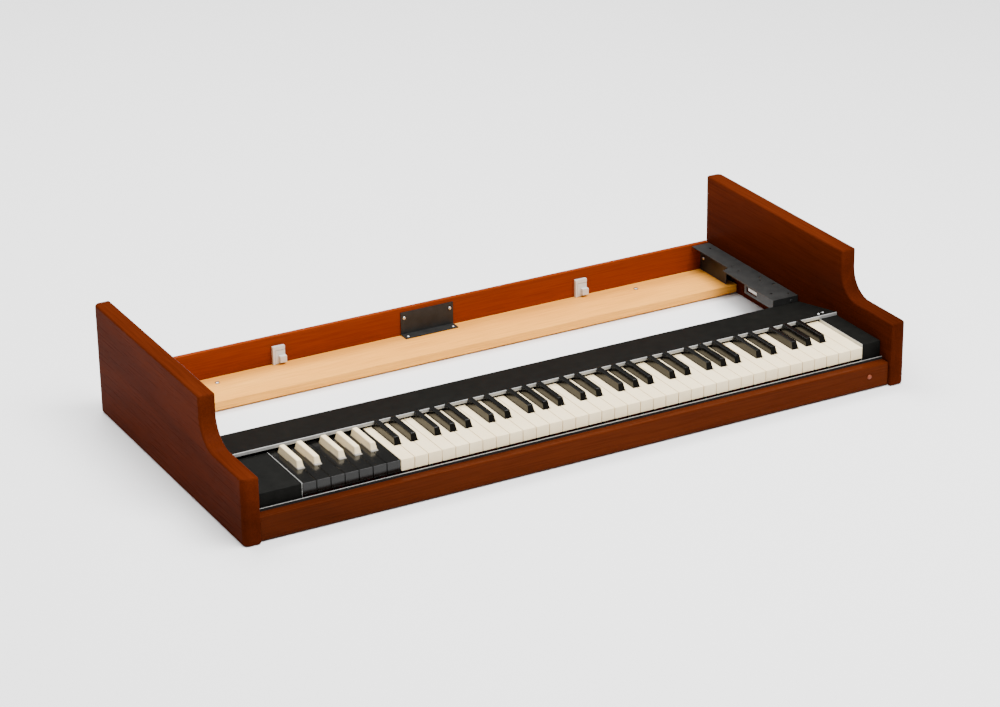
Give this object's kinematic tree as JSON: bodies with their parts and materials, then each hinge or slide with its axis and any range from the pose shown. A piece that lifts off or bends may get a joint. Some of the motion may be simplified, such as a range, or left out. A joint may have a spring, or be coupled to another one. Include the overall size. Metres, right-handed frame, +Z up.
{
  "type": "lower manual keyboard",
  "caption": "Lower organ manual: keyboard with reverse-coloured preset keys in an open lacquered wooden frame, with rear shelf and steel seats for an upper manual.",
  "frame": {"origin": "middle of the footprint, on the surface that the frame stands on", "axes": "+X along the keys from bass to treble, the player sits at -Y, +Z up"},
  "size_m": [1.1856, 0.568, 0.188],
  "materials": {
    "panel_wood": "glossy red-brown lacquer",
    "rail_wood": "glossy orange-brown lacquer",
    "shelf_wood": "plain satin pale wood",
    "black_paint": "satin black",
    "black_steel": "satin black powder coat",
    "plain_steel": "bright zinc",
    "ivory_plastic": "glossy ivory",
    "black_plastic": "glossy black",
    "strip_grey": "satin grey",
    "felt_red": "wool felt",
    "board_green": "circuit board",
    "contact_rubber": "matte silicone",
    "clip_plastic": "satin off-white"
  },
  "bodies": {
    "root": {"left_side_panel": "panel_wood", "right_side_panel": "panel_wood", "front_rail": "rail_wood", "rear_board": "rail_wood", "rear_shelf": "shelf_wood", "key_cover": "black_paint", "left_end_block": "black_paint", "right_end_block": "black_paint", "base_tray": "black_steel", "front_lip": "black_steel", "left_support_bracket": "black_steel", "right_support_bracket": "black_steel", "centre_bracket": "black_steel", "key_frame": "plain_steel", "key_pivot_rod": "plain_steel", "spring_comb": "plain_steel", "left_shelf_screw": "plain_steel", "right_shelf_screw": "plain_steel", "rail_screw": "plain_steel", "cover_edge_strip": "strip_grey", "key_stop_felt": "felt_red", "contact_board": "board_green", "contact_strip": "contact_rubber", "left_clip_base": "clip_plastic", "right_clip_base": "clip_plastic"},
    "preset_key_c": {"preset_key_c": "black_plastic"},
    "preset_key_d": {"preset_key_d": "black_plastic"},
    "preset_key_e": {"preset_key_e": "black_plastic"},
    "preset_key_f": {"preset_key_f": "black_plastic"},
    "preset_key_g": {"preset_key_g": "black_plastic"},
    "preset_key_a": {"preset_key_a": "black_plastic"},
    "preset_key_b": {"preset_key_b": "black_plastic"},
    "preset_key_c_sharp": {"preset_key_c_sharp": "ivory_plastic"},
    "preset_key_d_sharp": {"preset_key_d_sharp": "ivory_plastic"},
    "preset_key_f_sharp": {"preset_key_f_sharp": "ivory_plastic"},
    "preset_key_g_sharp": {"preset_key_g_sharp": "ivory_plastic"},
    "preset_key_a_sharp": {"preset_key_a_sharp": "ivory_plastic"},
    "octave3_key_c": {"octave3_key_c": "ivory_plastic"},
    "octave3_key_d": {"octave3_key_d": "ivory_plastic"},
    "octave3_key_e": {"octave3_key_e": "ivory_plastic"},
    "octave3_key_f": {"octave3_key_f": "ivory_plastic"},
    "octave3_key_g": {"octave3_key_g": "ivory_plastic"},
    "octave3_key_a": {"octave3_key_a": "ivory_plastic"},
    "octave3_key_b": {"octave3_key_b": "ivory_plastic"},
    "octave3_key_c_sharp": {"octave3_key_c_sharp": "black_plastic"},
    "octave3_key_d_sharp": {"octave3_key_d_sharp": "black_plastic"},
    "octave3_key_f_sharp": {"octave3_key_f_sharp": "black_plastic"},
    "octave3_key_g_sharp": {"octave3_key_g_sharp": "black_plastic"},
    "octave3_key_a_sharp": {"octave3_key_a_sharp": "black_plastic"},
    "octave1_naturals": {"octave1_naturals": "ivory_plastic"},
    "octave1_sharps": {"octave1_sharps": "black_plastic"},
    "octave2_naturals": {"octave2_naturals": "ivory_plastic"},
    "octave2_sharps": {"octave2_sharps": "black_plastic"},
    "octave4_naturals": {"octave4_naturals": "ivory_plastic"},
    "octave4_sharps": {"octave4_sharps": "black_plastic"},
    "octave5_naturals": {"octave5_naturals": "ivory_plastic"},
    "octave5_sharps": {"octave5_sharps": "black_plastic"},
    "top_key_c": {"top_key_c": "ivory_plastic"},
    "left_clip_gate": {"left_clip_gate": "clip_plastic"},
    "right_clip_gate": {"right_clip_gate": "clip_plastic"}
  },
  "joints": [
    {"name": "preset_key_c_press", "type": "hinge", "parent": "root", "child": "preset_key_c", "pos_m": [0, -0.039, 0.0475], "axis": [1, 0, 0], "range_deg": [0, 2.6], "stiffness_Nm_per_rad": 0.6, "springref_deg": -22.92},
    {"name": "preset_key_d_press", "type": "hinge", "parent": "root", "child": "preset_key_d", "pos_m": [0, -0.039, 0.0475], "axis": [1, 0, 0], "range_deg": [0, 2.6], "stiffness_Nm_per_rad": 0.6, "springref_deg": -22.92},
    {"name": "preset_key_e_press", "type": "hinge", "parent": "root", "child": "preset_key_e", "pos_m": [0, -0.039, 0.0475], "axis": [1, 0, 0], "range_deg": [0, 2.6], "stiffness_Nm_per_rad": 0.6, "springref_deg": -22.92},
    {"name": "preset_key_f_press", "type": "hinge", "parent": "root", "child": "preset_key_f", "pos_m": [0, -0.039, 0.0475], "axis": [1, 0, 0], "range_deg": [0, 2.6], "stiffness_Nm_per_rad": 0.6, "springref_deg": -22.92},
    {"name": "preset_key_g_press", "type": "hinge", "parent": "root", "child": "preset_key_g", "pos_m": [0, -0.039, 0.0475], "axis": [1, 0, 0], "range_deg": [0, 2.6], "stiffness_Nm_per_rad": 0.6, "springref_deg": -22.92},
    {"name": "preset_key_a_press", "type": "hinge", "parent": "root", "child": "preset_key_a", "pos_m": [0, -0.039, 0.0475], "axis": [1, 0, 0], "range_deg": [0, 2.6], "stiffness_Nm_per_rad": 0.6, "springref_deg": -22.92},
    {"name": "preset_key_b_press", "type": "hinge", "parent": "root", "child": "preset_key_b", "pos_m": [0, -0.039, 0.0475], "axis": [1, 0, 0], "range_deg": [0, 2.6], "stiffness_Nm_per_rad": 0.6, "springref_deg": -22.92},
    {"name": "preset_key_c_sharp_press", "type": "hinge", "parent": "root", "child": "preset_key_c_sharp", "pos_m": [0, -0.039, 0.0475], "axis": [1, 0, 0], "range_deg": [0, 2.6], "stiffness_Nm_per_rad": 0.6, "springref_deg": -22.92},
    {"name": "preset_key_d_sharp_press", "type": "hinge", "parent": "root", "child": "preset_key_d_sharp", "pos_m": [0, -0.039, 0.0475], "axis": [1, 0, 0], "range_deg": [0, 2.6], "stiffness_Nm_per_rad": 0.6, "springref_deg": -22.92},
    {"name": "preset_key_f_sharp_press", "type": "hinge", "parent": "root", "child": "preset_key_f_sharp", "pos_m": [0, -0.039, 0.0475], "axis": [1, 0, 0], "range_deg": [0, 2.6], "stiffness_Nm_per_rad": 0.6, "springref_deg": -22.92},
    {"name": "preset_key_g_sharp_press", "type": "hinge", "parent": "root", "child": "preset_key_g_sharp", "pos_m": [0, -0.039, 0.0475], "axis": [1, 0, 0], "range_deg": [0, 2.6], "stiffness_Nm_per_rad": 0.6, "springref_deg": -22.92},
    {"name": "preset_key_a_sharp_press", "type": "hinge", "parent": "root", "child": "preset_key_a_sharp", "pos_m": [0, -0.039, 0.0475], "axis": [1, 0, 0], "range_deg": [0, 2.6], "stiffness_Nm_per_rad": 0.6, "springref_deg": -22.92},
    {"name": "octave3_key_c_press", "type": "hinge", "parent": "root", "child": "octave3_key_c", "pos_m": [0, -0.039, 0.0475], "axis": [1, 0, 0], "range_deg": [0, 2.6], "stiffness_Nm_per_rad": 0.6, "springref_deg": -22.92},
    {"name": "octave3_key_d_press", "type": "hinge", "parent": "root", "child": "octave3_key_d", "pos_m": [0, -0.039, 0.0475], "axis": [1, 0, 0], "range_deg": [0, 2.6], "stiffness_Nm_per_rad": 0.6, "springref_deg": -22.92},
    {"name": "octave3_key_e_press", "type": "hinge", "parent": "root", "child": "octave3_key_e", "pos_m": [0, -0.039, 0.0475], "axis": [1, 0, 0], "range_deg": [0, 2.6], "stiffness_Nm_per_rad": 0.6, "springref_deg": -22.92},
    {"name": "octave3_key_f_press", "type": "hinge", "parent": "root", "child": "octave3_key_f", "pos_m": [0, -0.039, 0.0475], "axis": [1, 0, 0], "range_deg": [0, 2.6], "stiffness_Nm_per_rad": 0.6, "springref_deg": -22.92},
    {"name": "octave3_key_g_press", "type": "hinge", "parent": "root", "child": "octave3_key_g", "pos_m": [0, -0.039, 0.0475], "axis": [1, 0, 0], "range_deg": [0, 2.6], "stiffness_Nm_per_rad": 0.6, "springref_deg": -22.92},
    {"name": "octave3_key_a_press", "type": "hinge", "parent": "root", "child": "octave3_key_a", "pos_m": [0, -0.039, 0.0475], "axis": [1, 0, 0], "range_deg": [0, 2.6], "stiffness_Nm_per_rad": 0.6, "springref_deg": -22.92},
    {"name": "octave3_key_b_press", "type": "hinge", "parent": "root", "child": "octave3_key_b", "pos_m": [0, -0.039, 0.0475], "axis": [1, 0, 0], "range_deg": [0, 2.6], "stiffness_Nm_per_rad": 0.6, "springref_deg": -22.92},
    {"name": "octave3_key_c_sharp_press", "type": "hinge", "parent": "root", "child": "octave3_key_c_sharp", "pos_m": [0, -0.039, 0.0475], "axis": [1, 0, 0], "range_deg": [0, 2.6], "stiffness_Nm_per_rad": 0.6, "springref_deg": -22.92},
    {"name": "octave3_key_d_sharp_press", "type": "hinge", "parent": "root", "child": "octave3_key_d_sharp", "pos_m": [0, -0.039, 0.0475], "axis": [1, 0, 0], "range_deg": [0, 2.6], "stiffness_Nm_per_rad": 0.6, "springref_deg": -22.92},
    {"name": "octave3_key_f_sharp_press", "type": "hinge", "parent": "root", "child": "octave3_key_f_sharp", "pos_m": [0, -0.039, 0.0475], "axis": [1, 0, 0], "range_deg": [0, 2.6], "stiffness_Nm_per_rad": 0.6, "springref_deg": -22.92},
    {"name": "octave3_key_g_sharp_press", "type": "hinge", "parent": "root", "child": "octave3_key_g_sharp", "pos_m": [0, -0.039, 0.0475], "axis": [1, 0, 0], "range_deg": [0, 2.6], "stiffness_Nm_per_rad": 0.6, "springref_deg": -22.92},
    {"name": "octave3_key_a_sharp_press", "type": "hinge", "parent": "root", "child": "octave3_key_a_sharp", "pos_m": [0, -0.039, 0.0475], "axis": [1, 0, 0], "range_deg": [0, 2.6], "stiffness_Nm_per_rad": 0.6, "springref_deg": -22.92},
    {"name": "octave1_naturals_press", "type": "hinge", "parent": "root", "child": "octave1_naturals", "pos_m": [0, -0.039, 0.0475], "axis": [1, 0, 0], "range_deg": [0, 2.6], "stiffness_Nm_per_rad": 4.2, "springref_deg": -22.92},
    {"name": "octave1_sharps_press", "type": "hinge", "parent": "root", "child": "octave1_sharps", "pos_m": [0, -0.039, 0.0475], "axis": [1, 0, 0], "range_deg": [0, 2.6], "stiffness_Nm_per_rad": 3, "springref_deg": -22.92},
    {"name": "octave2_naturals_press", "type": "hinge", "parent": "root", "child": "octave2_naturals", "pos_m": [0, -0.039, 0.0475], "axis": [1, 0, 0], "range_deg": [0, 2.6], "stiffness_Nm_per_rad": 4.2, "springref_deg": -22.92},
    {"name": "octave2_sharps_press", "type": "hinge", "parent": "root", "child": "octave2_sharps", "pos_m": [0, -0.039, 0.0475], "axis": [1, 0, 0], "range_deg": [0, 2.6], "stiffness_Nm_per_rad": 3, "springref_deg": -22.92},
    {"name": "octave4_naturals_press", "type": "hinge", "parent": "root", "child": "octave4_naturals", "pos_m": [0, -0.039, 0.0475], "axis": [1, 0, 0], "range_deg": [0, 2.6], "stiffness_Nm_per_rad": 4.2, "springref_deg": -22.92},
    {"name": "octave4_sharps_press", "type": "hinge", "parent": "root", "child": "octave4_sharps", "pos_m": [0, -0.039, 0.0475], "axis": [1, 0, 0], "range_deg": [0, 2.6], "stiffness_Nm_per_rad": 3, "springref_deg": -22.92},
    {"name": "octave5_naturals_press", "type": "hinge", "parent": "root", "child": "octave5_naturals", "pos_m": [0, -0.039, 0.0475], "axis": [1, 0, 0], "range_deg": [0, 2.6], "stiffness_Nm_per_rad": 4.2, "springref_deg": -22.92},
    {"name": "octave5_sharps_press", "type": "hinge", "parent": "root", "child": "octave5_sharps", "pos_m": [0, -0.039, 0.0475], "axis": [1, 0, 0], "range_deg": [0, 2.6], "stiffness_Nm_per_rad": 3, "springref_deg": -22.92},
    {"name": "top_key_c_press", "type": "hinge", "parent": "root", "child": "top_key_c", "pos_m": [0, -0.039, 0.0475], "axis": [1, 0, 0], "range_deg": [0, 2.6], "stiffness_Nm_per_rad": 0.6, "springref_deg": -22.92},
    {"name": "left_clip_gate_open", "type": "hinge", "parent": "root", "child": "left_clip_gate", "pos_m": [-0.279, 0.2693, 0.0414], "axis": [-1, 0, 0], "range_deg": [0, 85]},
    {"name": "right_clip_gate_open", "type": "hinge", "parent": "root", "child": "right_clip_gate", "pos_m": [0.3, 0.2693, 0.0414], "axis": [-1, 0, 0], "range_deg": [0, 85]}
  ]
}
